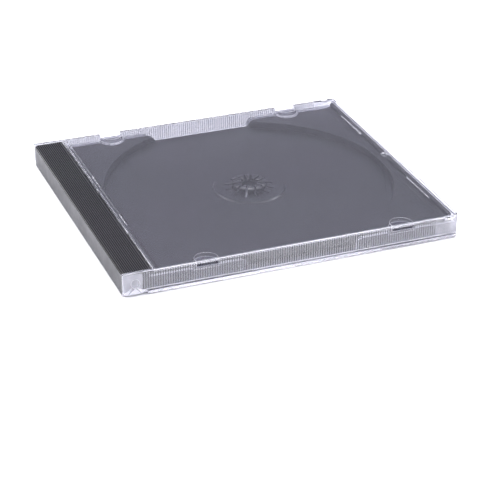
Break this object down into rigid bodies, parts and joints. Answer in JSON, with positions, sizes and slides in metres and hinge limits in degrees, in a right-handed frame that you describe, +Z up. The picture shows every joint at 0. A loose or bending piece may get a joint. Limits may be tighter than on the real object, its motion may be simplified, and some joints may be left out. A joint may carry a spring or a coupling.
{
  "type": "cd case",
  "caption": "Closed, empty disc case: a clear lid that hinges on two ears, a clear base, and a black tray with a sprung hub and a ribbed strip beside the hinge.",
  "frame": {"origin": "middle of the underside of the closed case's bounding box", "axes": "+X from the hinge side to the opening side, +Y along the hinge, +Z up through the lid"},
  "size_m": [0.142, 0.125, 0.0101],
  "materials": {
    "clear_polystyrene": "clear, injection moulded, polished",
    "black_polystyrene": "black, injection moulded, satin"
  },
  "bodies": {
    "base": {"back_cover": "clear_polystyrene", "tray": "black_polystyrene"},
    "lid": {"front_cover": "clear_polystyrene"}
  },
  "joints": [
    {"name": "lid_hinge", "type": "hinge", "parent": "base", "child": "lid", "pos_m": [-0.0659, 0, 0.0054], "axis": [0, -1, 0], "range_deg": [0, 180]}
  ]
}
